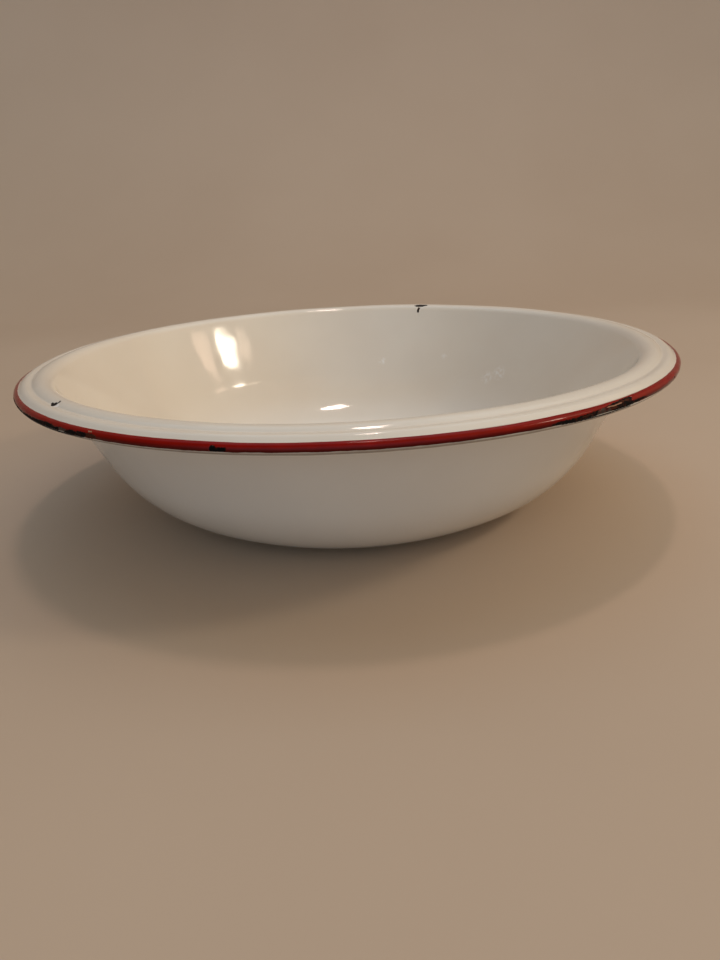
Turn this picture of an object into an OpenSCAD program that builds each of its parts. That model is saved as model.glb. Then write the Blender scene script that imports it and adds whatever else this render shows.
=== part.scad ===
// Round enamelled wash basin: one drawn and curled steel sheet under fused coats of enamel.
// The origin is the centre of the resting face, +Z is up.
// One meridian line, the middle of the sheet, is drawn from the axis out to the curled edge.
// Every piece is a band between two offsets of that line, so the coats always fit the sheet.

/* [Basin] */
// Diameter over the rolled edge
rim_d = 400; // [300:5:480]
// Height from the resting face to the crest of the mouth roll
basin_h = 95.5; // [76:0.5:130]
// Slope of the wall above level
wall_slope = 65; // [56:1:74]
// Bend between the base and the wall, at mid sheet
corner_r = 74; // [40:1:100]

/* [Rim] */
// Bend from the wall up to the crest of the mouth roll
mouth_roll_r = 6.7; // [4:0.1:10]
// Bend of the mouth roll's outer flank
roll_flank_r = 7; // [4:0.5:12]
// Angle at which the flank falls into the groove
roll_fall = 36; // [20:1:44]
// Bend at the bottom of the groove
groove_r = 2.5; // [1.5:0.1:4]
// Straight run of the flange, from the groove to its crown
flange_run = 1.4; // [0.5:0.1:10]
// Angle at which the flange rises out of the groove
flange_rise = 10; // [1:1:16]
// Bend of the flange's crown
crown_r = 3.6; // [2:0.1:8]
// Angle at which the flange falls from its crown to the bead
crown_fall = 38; // [15:1:45]
// Straight run of that fall
fall_run = 2.1; // [0.5:0.1:4]
// Bend in the crease between the flange and the bead
crease_r = 1; // [0.9:0.1:1.5]

/* [Bead] */
// Diameter over the rolled bead, enamel included
bead_d = 5.4; // [4.4:0.1:7]
// Gap between the sheet's cut edge and the level of the sheet above it
curl_gap = 0.8; // [0.6:0.1:1]
// Angle round the bead, from its top, that the red edge covers
red_turn = 112; // [90:1:140]

/* [Sheet and enamel] */
// Thickness of the steel sheet
sheet_t = 0.7; // [0.5:0.05:0.9]
// Thickness of the dark ground coat
ground_t = 0.12; // [0.1:0.01:0.16]
// Thickness of the white and red cover coats
cover_t = 0.25; // [0.2:0.01:0.3]

/* [Hidden] */

// Largest distance between a bend's true arc and its chords
chord_tol = 0.03;
// Facets of the preview
round_fn = 180;

// Offsets from mid sheet to the face of the steel, of the ground coat and of the cover coat
steel_face = sheet_t / 2;
ground_face = steel_face + ground_t;
cover_face = ground_face + cover_t;

// The bead: a curl of sheet, closed under the flange
curl_r = bead_d / 2 - cover_face;
curl_turn = 270 + asin((curl_r - steel_face - curl_gap) / (curl_r + steel_face));

// The rim's bends and runs reach from the crest of the mouth roll to the top of the bead
bead_x = rim_d / 2 - bead_d / 2;
flank_w = roll_flank_r * sin(roll_fall);
groove_w = groove_r * (sin(roll_fall) + sin(flange_rise));
flange_w = flange_run * cos(flange_rise);
crown_w = crown_r * (sin(flange_rise) + sin(crown_fall));
fall_w = fall_run * cos(crown_fall);
crease_w = crease_r * sin(crown_fall);
crest_x = bead_x - flank_w - groove_w - flange_w - crown_w - fall_w - crease_w;

// The wall's straight run takes up the height that the two bends leave
rise_h = basin_h - 2 * cover_face;
wall_run = (rise_h - (corner_r + mouth_roll_r) * (1 - cos(wall_slope))) / sin(wall_slope);
wall_w = wall_run * cos(wall_slope);
base_flat_r = crest_x - wall_w - (corner_r + mouth_roll_r) * sin(wall_slope);

// A station on the meridian is [x, z, heading]; both functions give the stations after the start.
function run(start, length) = [
    [start[0] + length * cos(start[2]), start[1] + length * sin(start[2]), start[2]]
];

function bend(start, radius, turn) =
    let (
        hand = sign(turn),
        steps = ceil(abs(turn) / (2 * acos(1 - chord_tol / radius)))
    )
    [
        for (i = [1 : steps])
            let (heading = start[2] + turn * i / steps)
            [
                start[0] + hand * radius * (sin(heading) - sin(start[2])),
                start[1] - hand * radius * (cos(heading) - cos(start[2])),
                heading
            ]
    ];

function last(stations) = stations[len(stations) - 1];

function reversed(list) = [for (i = [len(list) - 1 : -1 : 0]) list[i]];

// The stations' points, moved square to the sheet: plus is the side that water touches
function side(stations, offset) = [
    for (s = stations) [s[0] - offset * sin(s[2]), s[1] + offset * cos(s[2])]
];

centre = [0, cover_face, 0];
base = run(centre, base_flat_r);
corner = bend(last(base), corner_r, wall_slope);
wall = run(last(corner), wall_run);
roll = bend(last(wall), mouth_roll_r, -wall_slope);
flank = bend(last(roll), roll_flank_r, -roll_fall);
groove = bend(last(flank), groove_r, roll_fall + flange_rise);
flange = run(last(groove), flange_run);
crown_in = bend(last(flange), crown_r, -flange_rise);
crown_out = bend(last(crown_in), crown_r, -crown_fall);
fall = run(last(crown_out), fall_run);
crease = bend(last(fall), crease_r, crown_fall);
bead_front = bend(last(crease), curl_r, -red_turn);
bead_back = bend(last(bead_front), curl_r, red_turn - curl_turn);
edge_cap = run(last(bead_back), ground_t);

// Stretches of the meridian that the pieces cover
to_crown = concat([centre], base, corner, wall, roll, flank, groove, flange, crown_in, crown_out);
to_crease = concat(to_crown, fall);
to_bead = concat(to_crease, crease);
to_edge = concat(to_bead, bead_front, bead_back);
to_cap = concat(to_edge, edge_cap);
red_stretch = concat([last(crease)], bead_front);
under_bead = concat([last(bead_front)], bead_back, edge_cap);

// A ring of the given outline, turned about the axis
module turned(outline) {
    rotate_extrude($fn = round_fn)
        polygon(outline);
}

// The drawn sheet, from the base to the cut edge inside the curl
module steel_shell() {
    color("dimgray")
        turned(concat(side(to_edge, steel_face), reversed(side(to_edge, -steel_face))));
}

// The dark ground coat wraps both faces of the sheet and its cut edge
module ground_coat() {
    color("#16151a")
        turned(concat(
            side(to_cap, ground_face),
            reversed(side(to_cap, -ground_face)),
            side(to_edge, -steel_face),
            reversed(side(to_edge, steel_face))
        ));
}

// White cover coat from the middle of the base up to the red edge
module white_coat_inside() {
    color("ivory")
        turned(concat(side(to_bead, cover_face), reversed(side(to_bead, ground_face))));
}

// White cover coat of the outside; it fills the crease under the flange and backs the bead
module white_coat_outside() {
    color("whitesmoke")
        turned(concat(
            side(to_crown, -cover_face),
            reversed(side(under_bead, cover_face)),
            side(under_bead, ground_face),
            reversed(side(to_crease, -ground_face))
        ));
}

// Red cover coat brushed on the top and outer side of the bead
module red_edge_coat() {
    color("#7d1414")
        turned(concat(side(red_stretch, cover_face), reversed(side(red_stretch, ground_face))));
}

steel_shell();
ground_coat();
white_coat_inside();
white_coat_outside();
red_edge_coat();
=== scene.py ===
"""Looks of a round enamelled wash basin: white coats, a brushed red edge, and the worn places in both."""

import math
import random

import bpy
import numpy as np
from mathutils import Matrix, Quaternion, Vector, noise


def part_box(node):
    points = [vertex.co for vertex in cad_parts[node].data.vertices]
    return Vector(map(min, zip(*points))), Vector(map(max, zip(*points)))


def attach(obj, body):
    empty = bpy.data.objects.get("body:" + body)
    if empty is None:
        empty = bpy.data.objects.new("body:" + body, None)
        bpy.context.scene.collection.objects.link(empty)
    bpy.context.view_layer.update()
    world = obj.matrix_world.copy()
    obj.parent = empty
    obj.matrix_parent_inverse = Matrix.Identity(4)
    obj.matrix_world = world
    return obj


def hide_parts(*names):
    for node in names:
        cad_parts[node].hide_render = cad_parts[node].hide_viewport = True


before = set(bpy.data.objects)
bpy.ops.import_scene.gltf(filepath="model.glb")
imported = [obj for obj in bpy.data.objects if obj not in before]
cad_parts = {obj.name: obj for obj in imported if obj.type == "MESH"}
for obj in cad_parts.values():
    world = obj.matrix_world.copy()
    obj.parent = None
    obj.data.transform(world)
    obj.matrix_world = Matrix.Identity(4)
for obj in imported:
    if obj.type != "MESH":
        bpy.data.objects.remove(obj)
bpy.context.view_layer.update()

MM = 0.001
SEED = 7

# ---------------------------------------------------------------- sizes, in millimetres and degrees

# Bends and runs of the sheet, from the base out to the curled edge
WALL_SLOPE = 65.0
CORNER_R = 74.0
MOUTH_ROLL_R = 6.7
ROLL_FLANK_R = 7.0
ROLL_FALL = 36.0
GROOVE_R = 2.5
FLANGE_RUN = 1.4
FLANGE_RISE = 10.0
CROWN_R = 3.6
CROWN_FALL = 38.0
FALL_RUN = 2.1
CREASE_R = 1.0
RED_TURN = 112.0
CURL_GAP = 0.8


def node_corners(node):
    """The lowest and highest corners of a CAD node, in millimetres."""
    low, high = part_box(node)
    return low / MM, high / MM


steel_low, _ = node_corners("steel_shell")
ground_low, _ = node_corners("ground_coat")
inside_low, inside_high = node_corners("white_coat_inside")
red_low, red_high = node_corners("red_edge_coat")

# Offsets from mid sheet, read where the coats lie flat on the base
COVER_FACE = (inside_low.z + ground_low.z) / 2
GROUND_FACE = (inside_low.z - ground_low.z) / 2
STEEL_FACE = COVER_FACE - steel_low.z

BASIN_H = inside_high.z
RIM_R = (red_high.x - red_low.x) / 2
BEAD_R = (red_high.z - red_low.z) / (1 - math.cos(math.radians(RED_TURN)))
CURL_R = BEAD_R - COVER_FACE
CURL_TURN = 270 + math.degrees(math.asin((CURL_R - STEEL_FACE - CURL_GAP) / (CURL_R + STEEL_FACE)))

# Spacing of the stations along the meridian: broad on the body, close on the rim
BASE_STEP = 7.0
CORNER_STEP = 3.2
WALL_STEP = 3.8
ROLL_STEP = 0.45
RIM_STEP = 0.3
BEAD_STEP = 0.15
CUT_EDGE_STEP = 2 * BEAD_STEP

# ---------------------------------------------------------------- the meridian


def sin_d(degrees):
    return math.sin(math.radians(degrees))


def cos_d(degrees):
    return math.cos(math.radians(degrees))


def run(line, length, step):
    """Adds stations along a straight stretch. A station is (radius, height, heading)."""
    x, z, heading = line[-1]
    steps = max(1, math.ceil(length / step))
    for i in range(1, steps + 1):
        part = length * i / steps
        line.append((x + part * cos_d(heading), z + part * sin_d(heading), heading))
    return len(line) - 1


def bend(line, radius, turn, step):
    """Adds stations round a bend that turns the heading by so many degrees."""
    x, z, start = line[-1]
    hand = math.copysign(1, turn)
    steps = max(2, math.ceil(math.radians(abs(turn)) * radius / step))
    for i in range(1, steps + 1):
        heading = start + turn * i / steps
        line.append((
            x + hand * radius * (sin_d(heading) - sin_d(start)),
            z - hand * radius * (cos_d(heading) - cos_d(start)),
            heading,
        ))
    return len(line) - 1


bead_x = RIM_R - BEAD_R
crest_x = (
    bead_x
    - ROLL_FLANK_R * sin_d(ROLL_FALL)
    - GROOVE_R * (sin_d(ROLL_FALL) + sin_d(FLANGE_RISE))
    - FLANGE_RUN * cos_d(FLANGE_RISE)
    - CROWN_R * (sin_d(FLANGE_RISE) + sin_d(CROWN_FALL))
    - FALL_RUN * cos_d(CROWN_FALL)
    - CREASE_R * sin_d(CROWN_FALL)
)
bends_h = (CORNER_R + MOUTH_ROLL_R) * (1 - cos_d(WALL_SLOPE))
wall_run = (BASIN_H - 2 * COVER_FACE - bends_h) / sin_d(WALL_SLOPE)
base_flat_r = crest_x - wall_run * cos_d(WALL_SLOPE) - (CORNER_R + MOUTH_ROLL_R) * sin_d(WALL_SLOPE)

meridian = [(0.0, COVER_FACE, 0.0)]
run(meridian, base_flat_r, BASE_STEP)
bend(meridian, CORNER_R, WALL_SLOPE, CORNER_STEP)
run(meridian, wall_run, WALL_STEP)
crest = bend(meridian, MOUTH_ROLL_R, -WALL_SLOPE, ROLL_STEP)
bend(meridian, ROLL_FLANK_R, -ROLL_FALL, ROLL_STEP)
bend(meridian, GROOVE_R, ROLL_FALL + FLANGE_RISE, RIM_STEP)
run(meridian, FLANGE_RUN, RIM_STEP)
bend(meridian, CROWN_R, -FLANGE_RISE, RIM_STEP)
crown_end = bend(meridian, CROWN_R, -CROWN_FALL, RIM_STEP)
fall_end = run(meridian, FALL_RUN, RIM_STEP)
bead_top = bend(meridian, CREASE_R, CROWN_FALL, RIM_STEP)
red_end = bend(meridian, CURL_R, -RED_TURN, BEAD_STEP)
cut_edge = bend(meridian, CURL_R, RED_TURN - CURL_TURN, CUT_EDGE_STEP)
edge_cap = run(meridian, GROUND_FACE - STEEL_FACE, RIM_STEP)


def length_from_crest():
    """How far each station lies from the crest of the mouth roll, along the glaze."""
    points = np.array([
        (x - COVER_FACE * sin_d(h), z + COVER_FACE * cos_d(h)) for x, z, h in meridian
    ])
    steps = np.hypot(*np.diff(points, axis=0).T)
    lengths = np.concatenate([[0.0], np.cumsum(steps)])
    return lengths - lengths[crest]


glaze_length = length_from_crest()
bead_top_length = glaze_length[bead_top]

# ---------------------------------------------------------------- worn places

# Each outline is (azimuth in degrees, millimetres from the crest along the glaze). Azimuth -90 is the front
FLANGE_CHIP = [(-139.1, 5.3), (-137.7, 6.6), (-137.1, 3.5), (-138.1, 3.1), (-138.4, 4.3), (-139.1, 3.9)]
FLANGE_NICK = [(-137.9, 3.8), (-137.2, 3.3), (-137.2, 2.4), (-137.8, 1.0), (-138.05, 1.2), (-137.7, 2.6)]
# The bright edge along the flange chip: a painted glint
FLANGE_CHIP_EDGE_GLINT = [(-137.6, 6.9), (-137.2, 5.6), (-136.8, 3.7), (-136.4, 3.8), (-136.7, 5.7), (-137.2, 7.3)]
CREST_CHIP = [
    (71.9, -3.6), (71.5, -1.7), (70.4, -0.9), (68.7, -1.2), (68.1, -2.8), (69.5, -4.6), (70.9, -4.9),
]
CREST_RUN = [(70.0, -5.6), (70.2, -7.6), (70.45, -10.4), (70.85, -10.6), (70.9, -8.0), (70.6, -5.4)]


def round_bead(points):
    """Turns (azimuth, degrees round the bead from its top) into an outline along the glaze."""
    return [(azimuth, bead_top_length + math.radians(turn) * BEAD_R) for azimuth, turn in points]


LEFT_WEAR = round_bead([
    (-153.8, 74), (-151.4, 66), (-147.4, 76), (-143.1, 84), (-140.5, 76), (-136.7, 72), (-133.4, 58),
    (-132.2, 62), (-131.3, 78), (-129.9, 64), (-128.2, 75), (-127.1, 59), (-126.5, 69), (-125.0, 56),
    (-123.9, 58), (-123.8, 88), (-125.0, 128), (-131.0, 136), (-140.0, 138), (-148.0, 126), (-152.6, 96),
])
LEFT_RUST = round_bead([(-124.0, 56), (-122.6, 58), (-121.9, 78), (-122.3, 108), (-123.9, 112)])
LEFT_SCRATCH = round_bead([(-123.7, 36), (-123.1, 31), (-122.8, 44), (-123.5, 50)])
FRONT_CHIP = round_bead([
    (-105.1, 66), (-104.95, 50), (-104.6, 47), (-104.3, 61), (-103.7, 63), (-103.1, 67), (-102.9, 92),
    (-103.4, 106), (-104.9, 106), (-105.1, 90),
])
RIGHT_WEAR = round_bead([
    (-64.2, 92), (-63.3, 80), (-62.2, 72), (-60.7, 76), (-59.1, 70), (-57.5, 64), (-56.0, 54), (-54.4, 50),
    (-53.7, 37), (-51.9, 27), (-50.4, 16), (-49.0, 13), (-48.5, 42), (-48.8, 70), (-48.0, 75), (-45.4, 78),
    (-44.6, 88), (-47.0, 102), (-50.0, 116), (-55.0, 124), (-60.0, 120), (-63.4, 106),
])
RIGHT_RUST = round_bead([(-54.3, 76), (-52.5, 68), (-51.8, 86), (-53.7, 98)])
RIGHT_BROWN = round_bead([
    (-51.8, 40), (-50.9, 30), (-50.2, 36), (-49.6, 24), (-49.1, 40), (-49.3, 58), (-50.2, 50), (-51.0, 62),
])
RIGHT_FLECK = round_bead([(-59.4, 84), (-57.6, 74), (-56.9, 78), (-58.6, 90)])
RIGHT_STREAK = round_bead([(-54.3, 58), (-53.8, 48), (-52.6, 54), (-51.1, 48), (-51.0, 60), (-52.8, 66)])
SMALL_CHIPS = [round_bead(points) for points in (
    [(-171.0, 70), (-170.6, 62), (-170.2, 72), (-170.6, 84)],
    [(-33.2, 76), (-32.9, 70), (-32.4, 78), (-32.8, 88)],
    [(12.0, 60), (12.8, 50), (13.6, 62), (13.0, 90), (12.2, 86)],
    [(101.0, 84), (103.5, 70), (105.5, 78), (106.0, 104), (102.0, 108)],
    [(163.0, 80), (164.6, 72), (166.0, 84), (164.8, 110)],
)]

DARK_PLACES = [
    FLANGE_CHIP, FLANGE_NICK, CREST_CHIP, CREST_RUN, LEFT_WEAR, FRONT_CHIP, RIGHT_WEAR, *SMALL_CHIPS,
]
RUST_PLACES = [LEFT_RUST, RIGHT_RUST, RIGHT_BROWN, RIGHT_FLECK]
# Pale places: pale marks in the red, and a painted glint on the edge of the flange chip
PALE_AND_GLINT_PLACES = [LEFT_SCRATCH, RIGHT_STREAK, FLANGE_CHIP_EDGE_GLINT]

# Pale patches on the inside: azimuth, millimetres along the glaze from the crest, size, strength
PALE_PATCHES_INSIDE = [
    (80.6, -53.3, 4.5, 0.9), (60.7, -48.3, 4.0, 0.5), (44.7, -61.8, 7.0, 0.6), (40.9, -56.8, 8.0, 0.6),
    (-168.0, -40.0, 5.0, 0.4),
]

CHIP_DEPTH = 0.2
# Half the width of the slope down into a chip
CHIP_SLOPE = 0.16
# How deep rust lies beside a chip, as a share of the chip's depth
RUST_DEPTH = 0.7
# A worn edge wanders by noise of two sizes: how far across, and how far it moves the edge
RAGGED = ((0.9, 0.42), (0.28, 0.16))
# Only points closer than this to an outline are moved
RAGGED_REACH = 2
# An outline whose middle lies this far or more from its edge is ragged in full, a thinner one less
BROAD = 0.9


def azimuth_stations(step, close_step, places, margin):
    """Azimuths round the basin, closer together where the glaze is worn."""
    spans = sorted((min(a for a, _ in p) - margin, max(a for a, _ in p) + margin) for p in places)
    azimuths = []
    azimuth = -180.0
    while azimuth < 180.0:
        azimuths.append(azimuth)
        near = any(low - step <= azimuth <= high for low, high in spans)
        azimuth += close_step if near else step
    return np.array(azimuths)


def signed_inside(outline, azimuth, length):
    """Millimetres inside (plus) or outside (minus) an outline, for arrays of places on the glaze."""
    mean = sum(a for a, _ in outline) / len(outline)
    arc = math.radians(1) * RIM_R
    px, py = (azimuth - mean) * arc, length
    corners = [((a - mean) * arc, l) for a, l in outline]
    nearest = np.full(px.shape, 1e9)
    within = np.zeros(px.shape, bool)
    for (ax, ay), (bx, by) in zip(corners, corners[1:] + corners[:1]):
        ex, ey = bx - ax, by - ay
        share = np.clip(((px - ax) * ex + (py - ay) * ey) / (ex * ex + ey * ey), 0, 1)
        nearest = np.minimum(nearest, np.hypot(px - ax - share * ex, py - ay - share * ey))
        crosses = (ay > py) != (by > py)
        level = ex * (py - ay) / (ey if ey else 1e-9) + ax
        within ^= crosses & (px < level)
    return np.where(within, nearest, -nearest)


def worn_share(places, points, azimuth, length):
    """How far the glaze is gone at each point, 0 to 1, with a ragged edge."""
    share = np.zeros(azimuth.shape)
    for outline in places:
        inside = signed_inside(outline, azimuth, length)
        near = np.abs(inside) < RAGGED_REACH
        ragged = np.zeros(near.sum())
        amount = min(1, max(0, inside.max()) / BROAD)
        for i, point in enumerate(points[near]):
            ragged[i] = amount * sum(reach * noise.noise(Vector(point / size)) for size, reach in RAGGED)
        inside[near] += ragged
        edge = np.clip((inside / CHIP_SLOPE + 1) / 2, 0, 1)
        share = np.maximum(share, edge * edge * (3 - 2 * edge))
    return share


# ---------------------------------------------------------------- waves in the fired glaze


def wave_set(seed, shortest, longest, height, count):
    """Sine waves whose sum has this rms height: the way, length and phase of each, and the height of one."""
    draw = random.Random(seed)
    waves = []
    for _ in range(count):
        way = Vector((draw.gauss(0, 1), draw.gauss(0, 1), draw.gauss(0, 1))).normalized()
        waves.append((way, draw.uniform(shortest, longest), draw.uniform(0, math.tau)))
    return waves, height * math.sqrt(2 / count)


def wave_height(points, wave_sets):
    """How far the waves lift the glaze at each point."""
    total = np.zeros(points.shape[:-1])
    for waves, height in wave_sets:
        for way, wavelength, phase in waves:
            total += height * np.sin(points @ np.array(way) * math.tau / wavelength + phase)
    return total


BODY_WAVES = [
    wave_set(SEED, shortest=60, longest=150, height=0.09, count=9),
    wave_set(SEED + 1, shortest=16, longest=34, height=0.018, count=16),
]
EDGE_WAVES = [
    wave_set(SEED + 2, shortest=30, longest=90, height=0.06, count=7),
    wave_set(SEED + 3, shortest=6, longest=16, height=0.018, count=10),
]
# Millimetres above the floor at which a face that looks down has its waves in full
WAVES_START = 8

# ---------------------------------------------------------------- turned pieces

# A station closer to the axis than this is on it, in millimetres
ON_AXIS = 1e-6
# An edge between faces that meet more steeply than this is shaded sharp, in degrees
SHARP_ANGLE = 50


def face(first, last, offset, seen, every=1):
    """Rows on one face of the sheet: radius, height, the way out of the sheet, seen or not, glaze length."""
    picked = sorted(set(range(first, last + 1, every)) | {last})
    way = math.copysign(1, offset) if seen else 0
    rows = []
    for i in picked:
        x, z, heading = meridian[i]
        rows.append((
            x - offset * sin_d(heading), z + offset * cos_d(heading),
            -sin_d(heading) * way, cos_d(heading) * way, seen, glaze_length[i],
        ))
    return rows


def clockwise(rows):
    """The rows in the order that turns the faces of the piece outward."""
    x, z = np.array(rows)[:, :2].T
    area = np.sum(x * np.roll(z, -1) - np.roll(x, -1) * z)
    return rows if area < 0 else rows[::-1]


def join_rows(at, on_axis):
    """Points and faces of a closed band, and the rows and turns that its points came from."""
    count, turns = at.shape[:2]
    index = np.zeros((count, turns), int)
    points = []
    kept = []
    for row in range(count):
        width = 1 if on_axis[row] else turns
        index[row] = len(points) + (np.zeros(turns, int) if on_axis[row] else np.arange(turns))
        points.extend(at[row, :width])
        kept.extend((row, turn) for turn in range(width))
    faces = []
    for row in range(count):
        below, above = index[row], index[(row + 1) % count]
        if on_axis[row] and on_axis[(row + 1) % count]:
            continue
        for turn in range(turns):
            after = (turn + 1) % turns
            corners = (below[turn], above[turn], above[after], below[after])
            faces.append(tuple(dict.fromkeys(int(c) for c in corners)))
    return points, faces, tuple(np.array(kept).T)


def turned_piece(name, rows, azimuths, waves):
    """A closed band turned about the axis, with waves and worn places in its seen faces."""
    table = np.array(clockwise(rows))
    radius, height, out_x, out_z, seen, length = table.T[:, :, None]
    angle = np.radians(azimuths)[None, :]
    at = np.stack([radius * np.cos(angle), radius * np.sin(angle), height + 0 * angle], -1)
    out = np.stack([out_x * np.cos(angle), out_x * np.sin(angle), out_z + 0 * angle], -1)
    places = (at, azimuths[None, :] + 0 * radius, length + 0 * angle)
    masks = {
        mask: worn_share(outlines, *places) * seen
        for mask, outlines in (("worn", DARK_PLACES), ("rust", RUST_PLACES), ("pale", PALE_AND_GLINT_PLACES))
    }
    hollow = np.maximum(masks["worn"], RUST_DEPTH * masks["rust"]) * CHIP_DEPTH
    # The face that the basin rests on stays flat
    wavy = np.where(out[..., 2] < 0, np.clip(at[..., 2] / WAVES_START, 0, 1), 1)
    at = at + out * (wavy * wave_height(at, waves) - hollow)[..., None]

    points, faces, picked = join_rows(at, table[:, 0] < ON_AXIS)
    mesh = bpy.data.meshes.new(name)
    mesh.from_pydata((np.array(points) * MM).tolist(), [], faces)
    bead_turn = np.degrees((length + 0 * angle - bead_top_length) / BEAD_R)
    for attribute, grid in (*masks.items(), ("bead_turn", bead_turn)):
        values = grid[picked].astype(np.float32)
        mesh.attributes.new(attribute, "FLOAT", "POINT").data.foreach_set("value", values)
    mesh.shade_smooth()
    mesh.set_sharp_from_angle(angle=math.radians(SHARP_ANGLE))
    piece = bpy.data.objects.new(name, mesh)
    bpy.context.scene.collection.objects.link(piece)
    return piece


def make_inside_coat():
    """White coat from the middle of the base up over the rim to the red edge."""
    worn = [FLANGE_CHIP, FLANGE_NICK, CREST_CHIP]
    azimuths = azimuth_stations(step=0.68, close_step=0.055, places=worn, margin=0.4)
    rows = face(0, bead_top, COVER_FACE, 1) + face(0, bead_top, GROUND_FACE, 0, every=4)[::-1]
    return turned_piece("white_enamel_inside", rows, azimuths, BODY_WAVES)


def make_outside_coat():
    """White coat of the outside, the crease under the flange and the back of the bead."""
    worn = [LEFT_WEAR, FRONT_CHIP, RIGHT_WEAR]
    azimuths = azimuth_stations(step=0.9, close_step=0.25, places=worn, margin=0.5)
    rows = (
        face(0, crown_end, -COVER_FACE, 1)
        + face(red_end, edge_cap, COVER_FACE, 1)[::-1]
        + face(red_end, edge_cap, GROUND_FACE, 0, every=3)
        + face(0, fall_end, -GROUND_FACE, 0, every=4)[::-1]
    )
    return turned_piece("white_enamel_outside", rows, azimuths, BODY_WAVES)


def make_red_edge():
    """Red coat on the top and outer side of the bead."""
    worn = [LEFT_WEAR, LEFT_RUST, FRONT_CHIP, RIGHT_WEAR, *SMALL_CHIPS]
    azimuths = azimuth_stations(step=0.2, close_step=0.052, places=worn, margin=0.6)
    rows = face(bead_top, red_end, COVER_FACE, 1) + face(bead_top, red_end, GROUND_FACE, 0, every=5)[::-1]
    return turned_piece("red_enamel_edge", rows, azimuths, EDGE_WAVES)


def make_ground_coat():
    """Dark coat that wraps the sheet under the colours."""
    azimuths = azimuth_stations(step=1.25, close_step=1.25, places=[], margin=0)
    rows = (
        face(0, edge_cap, GROUND_FACE, 0, every=2)
        + face(0, edge_cap, -GROUND_FACE, 0, every=2)[::-1]
        + face(0, cut_edge, -STEEL_FACE, 0, every=2)
        + face(0, cut_edge, STEEL_FACE, 0, every=2)[::-1]
    )
    return turned_piece("ground_enamel", rows, azimuths, [])


# ---------------------------------------------------------------- materials

# Enamel is a glass
ENAMEL_IOR = 1.52

# How far across the features of each pattern are, in millimetres
MASK_GRIT = 0.22
RUST_PATCH = 1.6
PALE_GRAIN = 1.3
PATCH_BREAKUP = 2.6
GLAZE_CLOUD = 55
SPECK_CELL = 14
WIPE_SMEAR = 24
WHITE_PEEL = 4.5
WHITE_PIT = 0.5
BRUSH_STROKE = 9
BRUSH_WANDER = 6
RUST_SCALE = 0.7
RED_DIMPLE = 2.2
RED_PIT = 0.45
STEEL_GRAIN = 0.8
CARD_CLOUD = 420

# Share of the cells that hold a speck in the white, and a grain in the worn places
SPECKED_CELLS = 0.14
GRAINED_CELLS = 0.28


def linear(colour):
    """An sRGB hex colour as linear RGBA."""
    values = [int(colour[i : i + 2], 16) / 255 for i in (1, 3, 5)]
    return (*(v / 12.92 if v <= 0.04045 else ((v + 0.055) / 1.055) ** 2.4 for v in values), 1.0)


def per_mm(size):
    """Scale of a pattern whose features are so many millimetres across, in object coordinates."""
    return 1 / (size * MM)


def add(tree, kind, inputs=None, **settings):
    """Adds a node with its settings; an input is a value, or the socket that feeds it."""
    made = tree.nodes.new(kind)
    for name, value in settings.items():
        setattr(made, name, value)
    for name, value in (inputs or {}).items():
        if isinstance(value, bpy.types.NodeSocket):
            tree.links.new(value, made.inputs[name])
        else:
            made.inputs[name].default_value = value
    return made


def new_material(name):
    """An empty material, its tree and the object coordinates that its patterns use."""
    material = bpy.data.materials.new(name)
    material.use_nodes = True
    tree = material.node_tree
    tree.nodes.clear()
    place = add(tree, "ShaderNodeTexCoord").outputs["Object"]
    return material, tree, place


def finish_material(tree, shader):
    add(tree, "ShaderNodeOutputMaterial", {"Surface": shader.outputs["BSDF"]})


def sharpened_mask(tree, place, name):
    """A worn-place mask with its edge broken up finer than the mesh."""
    mask = add(tree, "ShaderNodeAttribute", attribute_name=name).outputs["Fac"]
    grit = add(tree, "ShaderNodeTexNoise", {"Vector": place, "Scale": per_mm(MASK_GRIT), "Detail": 3.0})
    # Half the grit is added, which is a quarter on average, so the edge lies about 0.75
    shifted = add(tree, "ShaderNodeMath", {0: grit.outputs["Fac"], 1: 0.5, 2: mask}, operation="MULTIPLY_ADD")
    return add(tree, "ShaderNodeMapRange", {
        "Value": shifted.outputs[0], "From Min": 0.63, "From Max": 0.87,
    }, interpolation_type="SMOOTHSTEP").outputs[0]


def dark_coat_colour(tree, place):
    """Ground enamel laid bare: near black, with brown rust and a few pale grains of cover coat."""
    rust = add(tree, "ShaderNodeTexNoise", {"Vector": place, "Scale": per_mm(RUST_PATCH), "Detail": 4.0})
    rusty = add(tree, "ShaderNodeMapRange", {
        "Value": rust.outputs["Fac"], "From Min": 0.5, "From Max": 0.68,
    }).outputs[0]
    browned = add(tree, "ShaderNodeMix", {
        0: rusty, 6: linear("#040202"), 7: linear("#3c160a"),
    }, data_type="RGBA").outputs[2]
    grain = add(tree, "ShaderNodeTexVoronoi", {"Vector": place, "Scale": per_mm(PALE_GRAIN)})
    pale = add(tree, "ShaderNodeMapRange", {
        "Value": grain.outputs["Distance"], "From Min": 0.2, "From Max": 0.1,
    }).outputs[0]
    chance = add(tree, "ShaderNodeSeparateColor", {"Color": grain.outputs["Color"]}).outputs["Green"]
    chosen = add(tree, "ShaderNodeMath", {
        0: chance, 1: 1 - GRAINED_CELLS,
    }, operation="GREATER_THAN").outputs[0]
    left = add(tree, "ShaderNodeMath", {0: pale, 1: chosen}, operation="MULTIPLY").outputs[0]
    return add(tree, "ShaderNodeMix", {
        0: left, 6: browned, 7: linear("#6e4a38"),
    }, data_type="RGBA").outputs[2]


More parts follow.
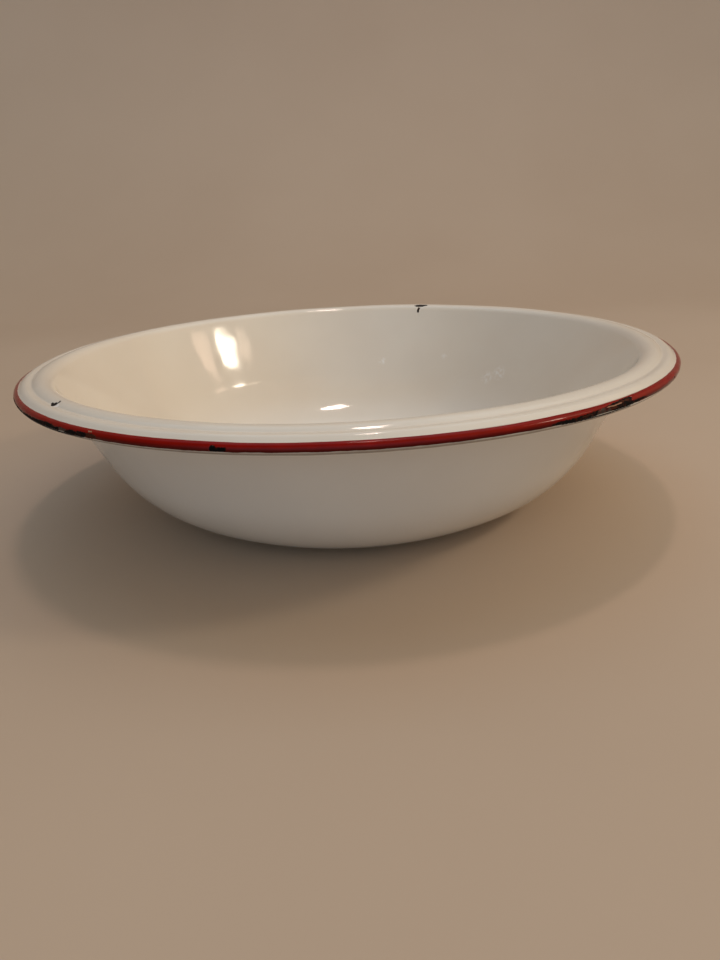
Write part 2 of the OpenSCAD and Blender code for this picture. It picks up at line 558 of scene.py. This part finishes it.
def add_marks(tree, place, colour):
    """A few pale patches, each broken up and some millimetres across, mixed over a colour."""
    for azimuth, length, size, strength in PALE_PATCHES_INSIDE:
        x = np.interp(length, glaze_length, [station[0] for station in meridian]) * MM
        z = np.interp(length, glaze_length, [station[1] for station in meridian]) * MM
        far = add(tree, "ShaderNodeVectorMath", {
            0: place, 1: (x * cos_d(azimuth), x * sin_d(azimuth), z),
        }, operation="DISTANCE").outputs["Value"]
        near = add(tree, "ShaderNodeMapRange", {
            "Value": far, "From Min": size * MM, "From Max": 0.2 * size * MM, "To Max": strength,
        }, interpolation_type="SMOOTHSTEP").outputs[0]
        broken = add(tree, "ShaderNodeTexNoise", {
            "Vector": place, "Scale": per_mm(PATCH_BREAKUP), "Detail": 4.0,
        })
        patchy = add(tree, "ShaderNodeMapRange", {
            "Value": broken.outputs["Fac"], "From Min": 0.42, "From Max": 0.62,
        }).outputs[0]
        share = add(tree, "ShaderNodeMath", {0: near, 1: patchy}, operation="MULTIPLY").outputs[0]
        colour = add(tree, "ShaderNodeMix", {
            0: share, 6: colour, 7: linear("#fffdfb"),
        }, data_type="RGBA").outputs[2]
    return colour


def add_specks(tree, place, colour):
    """Iron specks about half a millimetre across, in a few of the cells, mixed over a colour."""
    cells = add(tree, "ShaderNodeTexVoronoi", {"Vector": place, "Scale": per_mm(SPECK_CELL)})
    spot = add(tree, "ShaderNodeMapRange", {
        "Value": cells.outputs["Distance"], "From Min": 0.03, "From Max": 0.018,
    }).outputs[0]
    chance = add(tree, "ShaderNodeSeparateColor", {"Color": cells.outputs["Color"]}).outputs["Red"]
    chosen = add(tree, "ShaderNodeMath", {
        0: chance, 1: 1 - SPECKED_CELLS,
    }, operation="GREATER_THAN").outputs[0]
    speck = add(tree, "ShaderNodeMath", {0: spot, 1: chosen}, operation="MULTIPLY").outputs[0]
    return add(tree, "ShaderNodeMix", {
        0: speck, 6: colour, 7: linear("#4a4038"),
    }, data_type="RGBA").outputs[2]


def add_pits(tree, place, broken, size, depth, skin):
    """Pits where a coat is broken, over the bump of its skin. Size and depth are in millimetres."""
    pitted = add(tree, "ShaderNodeTexNoise", {"Vector": place, "Scale": per_mm(size), "Detail": 4.0})
    pits = add(tree, "ShaderNodeMath", {0: pitted.outputs["Fac"], 1: broken}, operation="MULTIPLY").outputs[0]
    return add(tree, "ShaderNodeBump", {
        "Height": pits, "Strength": 0.5, "Distance": depth * MM, "Normal": skin.outputs["Normal"],
    }).outputs["Normal"]


def make_white_enamel(name, bright, dull, marks=False):
    """Porcelain enamel, dipped and fired: a glassy white skin with a slight ripple and a few dark specks."""
    material, tree, place = new_material(name)
    cloud = add(tree, "ShaderNodeTexNoise", {"Vector": place, "Scale": per_mm(GLAZE_CLOUD), "Detail": 3.0})
    white = add(tree, "ShaderNodeMix", {
        0: cloud.outputs["Fac"], 6: linear(bright), 7: linear(dull),
    }, data_type="RGBA").outputs[2]

    # On the white the pale mask whitens the edge of the flange chip: a painted glint
    pale = sharpened_mask(tree, place, "pale")
    glint_painted = add(tree, "ShaderNodeMix", {
        0: pale, 6: add_specks(tree, place, white), 7: linear("#fbf6f4"),
    }, data_type="RGBA").outputs[2]
    # Round the back of the bead the white is greyed: painted shade under the curl
    turn = add(tree, "ShaderNodeAttribute", attribute_name="bead_turn").outputs["Fac"]
    curl_shade = add(tree, "ShaderNodeMapRange", {
        "Value": turn, "From Min": RED_TURN - 4, "From Max": RED_TURN + 4, "To Max": 0.8,
    }).outputs[0]
    curl_shaded = add(tree, "ShaderNodeMix", {
        0: curl_shade, 6: glint_painted, 7: linear("#8a7d70"),
    }, data_type="RGBA").outputs[2]
    marked = add_marks(tree, place, curl_shaded) if marks else curl_shaded
    worn = sharpened_mask(tree, place, "worn")
    colour = add(tree, "ShaderNodeMix", {
        0: worn, 6: marked, 7: dark_coat_colour(tree, place),
    }, data_type="RGBA").outputs[2]

    wipe = add(tree, "ShaderNodeTexNoise", {"Vector": place, "Scale": per_mm(WIPE_SMEAR), "Detail": 5.0})
    gloss = add(tree, "ShaderNodeMapRange", {
        "Value": wipe.outputs["Fac"], "From Min": 0.35, "From Max": 0.75, "To Min": 0.06, "To Max": 0.13,
    }).outputs[0]
    rough = add(tree, "ShaderNodeMix", {0: worn, 2: gloss, 3: 0.9}).outputs[0]

    peel = add(tree, "ShaderNodeTexNoise", {"Vector": place, "Scale": per_mm(WHITE_PEEL), "Detail": 2.0})
    ripple = add(tree, "ShaderNodeBump", {
        "Height": peel.outputs["Fac"], "Strength": 0.2, "Distance": 0.04 * MM,
    })
    shader = add(tree, "ShaderNodeBsdfPrincipled", {
        "Base Color": colour, "Roughness": rough, "IOR": ENAMEL_IOR,
        "Normal": add_pits(tree, place, worn, WHITE_PIT, 0.05, ripple),
    })
    finish_material(tree, shader)
    return material


def add_brush_lines(tree, place, turn, colour):
    """The brush line wanders a few degrees round the bead, at the top and at the bottom."""
    top_reach = 14.0
    foot_reach = 16.0
    wander = add(tree, "ShaderNodeTexNoise", {"Vector": place, "Scale": per_mm(BRUSH_WANDER), "Detail": 4.0})
    top = add(tree, "ShaderNodeMath", {
        0: wander.outputs["Fac"], 1: top_reach, 2: turn,
    }, operation="MULTIPLY_ADD")
    above = add(tree, "ShaderNodeMapRange", {
        "Value": top.outputs[0], "From Min": 9.0, "From Max": 6.0,
    }).outputs[0]
    foot = add(tree, "ShaderNodeMath", {
        0: wander.outputs["Fac"], 1: foot_reach, 2: turn,
    }, operation="MULTIPLY_ADD")
    below = add(tree, "ShaderNodeMapRange", {
        "Value": foot.outputs[0], "From Min": RED_TURN + 1, "From Max": RED_TURN + 5,
    }).outputs[0]
    bare = add(tree, "ShaderNodeMath", {0: above, 1: below}, operation="MAXIMUM").outputs[0]
    return add(tree, "ShaderNodeMix", {
        0: bare, 6: colour, 7: linear("#cfc5b8"),
    }, data_type="RGBA").outputs[2]


def make_red_enamel():
    """Red enamel brushed on the bead and fired: glassy oxblood, with a wandering edge above and below."""
    material, tree, place = new_material("brushed red enamel")
    stroke = add(tree, "ShaderNodeTexNoise", {"Vector": place, "Scale": per_mm(BRUSH_STROKE), "Detail": 4.0})
    red = add(tree, "ShaderNodeMix", {
        0: stroke.outputs["Fac"], 6: linear("#9c0d01"), 7: linear("#700800"),
    }, data_type="RGBA").outputs[2]

    # Darker on the lower half of the bead: painted shade on the bead's underside
    turn = add(tree, "ShaderNodeAttribute", attribute_name="bead_turn").outputs["Fac"]
    underside_shade = add(tree, "ShaderNodeMapRange", {
        "Value": turn, "From Min": 52.0, "From Max": 100.0, "To Max": 0.85,
    }, interpolation_type="SMOOTHSTEP").outputs[0]
    underside_shaded_red = add(tree, "ShaderNodeMix", {
        0: underside_shade, 6: red, 7: linear("#3a0302"),
    }, data_type="RGBA").outputs[2]
    edged = add_brush_lines(tree, place, turn, underside_shaded_red)

    worn = sharpened_mask(tree, place, "worn")
    blackened = add(tree, "ShaderNodeMix", {
        0: worn, 6: edged, 7: dark_coat_colour(tree, place),
    }, data_type="RGBA").outputs[2]
    rust = sharpened_mask(tree, place, "rust")
    scale = add(tree, "ShaderNodeTexNoise", {"Vector": place, "Scale": per_mm(RUST_SCALE), "Detail": 3.0})
    brown = add(tree, "ShaderNodeMix", {
        0: scale.outputs["Fac"], 6: linear("#5e2c18"), 7: linear("#1e0e08"),
    }, data_type="RGBA").outputs[2]
    rusted = add(tree, "ShaderNodeMix", {0: rust, 6: blackened, 7: brown}, data_type="RGBA").outputs[2]
    pale = sharpened_mask(tree, place, "pale")
    colour = add(tree, "ShaderNodeMix", {
        0: pale, 6: rusted, 7: linear("#a3765c"),
    }, data_type="RGBA").outputs[2]

    broken = add(tree, "ShaderNodeMath", {0: worn, 1: rust}, operation="MAXIMUM").outputs[0]
    rough = add(tree, "ShaderNodeMix", {0: broken, 2: 0.14, 3: 0.85}).outputs[0]
    dimple = add(tree, "ShaderNodeTexNoise", {"Vector": place, "Scale": per_mm(RED_DIMPLE), "Detail": 3.0})
    skin = add(tree, "ShaderNodeBump", {
        "Height": dimple.outputs["Fac"], "Strength": 0.3, "Distance": 0.05 * MM,
    })
    shader = add(tree, "ShaderNodeBsdfPrincipled", {
        "Base Color": colour, "Roughness": rough, "IOR": ENAMEL_IOR, "Specular IOR Level": 0.14,
        "Normal": add_pits(tree, place, broken, RED_PIT, 0.07, skin),
    })
    finish_material(tree, shader)
    return material


def make_ground_enamel():
    """Ground enamel, fired on first: a dark glass, bare only inside the curl. Worn covers take its colour."""
    material, tree, place = new_material("dark ground enamel")
    shader = add(tree, "ShaderNodeBsdfPrincipled", {
        "Base Color": dark_coat_colour(tree, place), "Roughness": 0.4, "IOR": ENAMEL_IOR,
    })
    finish_material(tree, shader)
    return material


def make_pickled_steel():
    """Sheet steel, cold rolled and pickled in acid: a dull grey metal, finely mottled."""
    material, tree, place = new_material("pickled sheet steel")
    grain = add(tree, "ShaderNodeTexNoise", {"Vector": place, "Scale": per_mm(STEEL_GRAIN), "Detail": 5.0})
    grey = add(tree, "ShaderNodeMix", {
        0: grain.outputs["Fac"], 6: linear("#8a8681"), 7: linear("#5d5853"),
    }, data_type="RGBA").outputs[2]
    rough = add(tree, "ShaderNodeMapRange", {
        "Value": grain.outputs["Fac"], "To Min": 0.42, "To Max": 0.62,
    }).outputs[0]
    shader = add(tree, "ShaderNodeBsdfPrincipled", {"Base Color": grey, "Roughness": rough, "Metallic": 1.0})
    finish_material(tree, shader)
    return material


def make_backdrop_paper():
    """Matt card backdrop: warm and pale, with a faint fibre cloud."""
    material, tree, place = new_material("backdrop card")
    cloud = add(tree, "ShaderNodeTexNoise", {"Vector": place, "Scale": per_mm(CARD_CLOUD), "Detail": 4.0})
    shade = add(tree, "ShaderNodeMix", {
        0: cloud.outputs["Fac"], 6: linear("#cbb7a3"), 7: linear("#bfa994"),
    }, data_type="RGBA").outputs[2]
    shader = add(tree, "ShaderNodeBsdfPrincipled", {"Base Color": shade, "Roughness": 0.7})
    finish_material(tree, shader)
    return material


# ---------------------------------------------------------------- pieces on their bodies

# The inside white is warmer than the outside white: painted warm light on the inside
for piece, material, slot, node in (
    (make_inside_coat(), make_white_enamel("white enamel inside", "#efe7db", "#e6dbcd", marks=True),
     "white_enamel_inside", "white_coat_inside"),
    (make_outside_coat(), make_white_enamel("white enamel outside", "#e8e4dc", "#ded9d1"),
     "white_enamel_outside", "white_coat_outside"),
    (make_red_edge(), make_red_enamel(), "red_enamel", "red_edge_coat"),
    (make_ground_coat(), make_ground_enamel(), "ground_enamel", "ground_coat"),
):
    piece.data.materials.append(material)
    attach(piece, "root")
    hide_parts(node)

steel_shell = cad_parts["steel_shell"]
steel_shell.data.materials.clear()
steel_shell.data.materials.append(make_pickled_steel())

# ---------------------------------------------------------------- floor, light and camera


def make_backdrop():
    """A sheet of card that lies flat under the basin and sweeps up behind it, in metres."""
    half_width = 2.2
    front = -1.6
    back = 1.5
    height = 2.6
    sweep_r = 0.7
    sweep_steps = 24
    profile = [(front, 0.0), (0.0, 0.0)]
    for i in range(sweep_steps + 1):
        angle = math.radians(90) * i / sweep_steps
        profile.append((back - sweep_r + sweep_r * math.sin(angle), sweep_r - sweep_r * math.cos(angle)))
    profile.append((back, height))
    points = [(side * half_width, y, z) for y, z in profile for side in (-1, 1)]
    faces = [(2 * i, 2 * i + 1, 2 * i + 3, 2 * i + 2) for i in range(len(profile) - 1)]
    mesh = bpy.data.meshes.new("backdrop")
    mesh.from_pydata(points, [], faces)
    mesh.shade_smooth()
    mesh.materials.append(make_backdrop_paper())
    backdrop = bpy.data.objects.new("backdrop", mesh)
    bpy.context.scene.collection.objects.link(backdrop)


def direction(azimuth, elevation):
    """The way from the basin to a place that lies at these angles, in degrees."""
    return Vector((
        cos_d(azimuth) * cos_d(elevation), sin_d(azimuth) * cos_d(elevation), sin_d(elevation),
    ))


def make_light(name, azimuth, elevation, distance, size, power, colour):
    """A soft rectangular light that faces the basin: angles in degrees, sizes in metres, power in watts."""
    light = bpy.data.lights.new(name, "AREA")
    light.shape = "RECTANGLE"
    light.size, light.size_y = size
    light.energy = power
    light.color = linear(colour)[:3]
    lamp = bpy.data.objects.new(name, light)
    aim = Vector((0, 0, BASIN_H * MM))
    way = direction(azimuth, elevation)
    lamp.location = aim + way * distance
    lamp.rotation_euler = (-way).to_track_quat("-Z", "Y").to_euler()
    bpy.context.scene.collection.objects.link(lamp)


def make_camera():
    """The camera stands in front of the basin, a little above its rim and rolled slightly."""
    pitch = math.radians(-20.98)
    yaw = math.radians(-1.0)
    roll = math.radians(-2.78)
    ahead = Vector((math.sin(yaw) * math.cos(pitch), math.cos(yaw) * math.cos(pitch), math.sin(pitch)))
    camera = bpy.data.objects.new("camera", bpy.data.cameras.new("camera"))
    camera.data.sensor_width = 36
    camera.data.lens = 26.47
    camera.data.clip_start = 0.01
    camera.rotation_mode = "QUATERNION"
    camera.rotation_quaternion = ahead.to_track_quat("-Z", "Y") @ Quaternion((0, 0, 1), roll)
    camera.location = (0.0124, -0.461, 0.1762)
    bpy.context.scene.collection.objects.link(camera)
    bpy.context.scene.camera = camera


def strength_of(light):
    """A light given as (colour, strength), as linear RGBA."""
    colour, strength = light
    return (*(strength * value for value in linear(colour)[:3]), 1.0)


def make_room_light(plain, base, glows):
    """Light from the room's walls: even, with broad soft glows. The camera sees a plain wall."""
    world = bpy.data.worlds.new("room")
    world.use_nodes = True
    tree = world.node_tree
    tree.nodes.clear()
    way = add(tree, "ShaderNodeTexCoord").outputs["Generated"]
    light = strength_of(base)
    for name, azimuth, elevation, spread, glow in glows:
        facing = add(tree, "ShaderNodeVectorMath", {
            0: way, 1: direction(azimuth, elevation),
        }, operation="DOT_PRODUCT").outputs["Value"]
        share = add(tree, "ShaderNodeMapRange", {
            "Value": facing, "From Min": cos_d(spread), "From Max": 1.0,
        }, interpolation_type="SMOOTHSTEP").outputs[0]
        light = add(tree, "ShaderNodeMix", {
            0: share, 6: light, 7: strength_of(glow),
        }, data_type="RGBA", blend_type="ADD", name=name).outputs[2]
    looked_at = add(tree, "ShaderNodeLightPath").outputs["Is Camera Ray"]
    wall = add(tree, "ShaderNodeMix", {
        0: looked_at, 6: light, 7: strength_of(plain),
    }, data_type="RGBA").outputs[2]
    background = add(tree, "ShaderNodeBackground", {"Color": wall})
    add(tree, "ShaderNodeOutputWorld", {"Surface": background.outputs[0]})
    bpy.context.scene.world = world


make_backdrop()
# Each glow is its name, azimuth, elevation and spread in degrees, then its colour and strength
make_room_light(plain=("#b3a394", 1.0), base=("#ffecd2", 0.178), glows=[
    ("side_glow", -8, 40, 60, ("#ffe2b2", 0.56)),
    ("front_glow", -95, 12, 60, ("#bbe0ff", 0.62)),
    ("back_glow", 90, 62, 50, ("#bfe3ff", 0.77)),
])
# Each light is its name, azimuth, elevation, distance, size, power and colour
for lamp in (
    ("ceiling_lamp", 54, 84, 2.0, (0.12, 0.25), 4.4, "#ffe3d6"),
    ("window_pane_left", -2.8, 33.6, 1.63, (0.185, 0.155), 0.44, "#ffd9bc"),
    ("window_pane_middle", -15.4, 36.5, 1.52, (0.18, 0.15), 3.1, "#fff0d8"),
    ("window_pane_right", -24.8, 38.6, 1.45, (0.13, 0.13), 0.25, "#ffe0c4"),
    ("back_softbox", 90, 55, 2.0, (1.6, 0.8), 1.7, "#e6f4ff"),
):
    make_light(*lamp)
make_camera()
bpy.context.scene.view_settings.view_transform = "Standard"
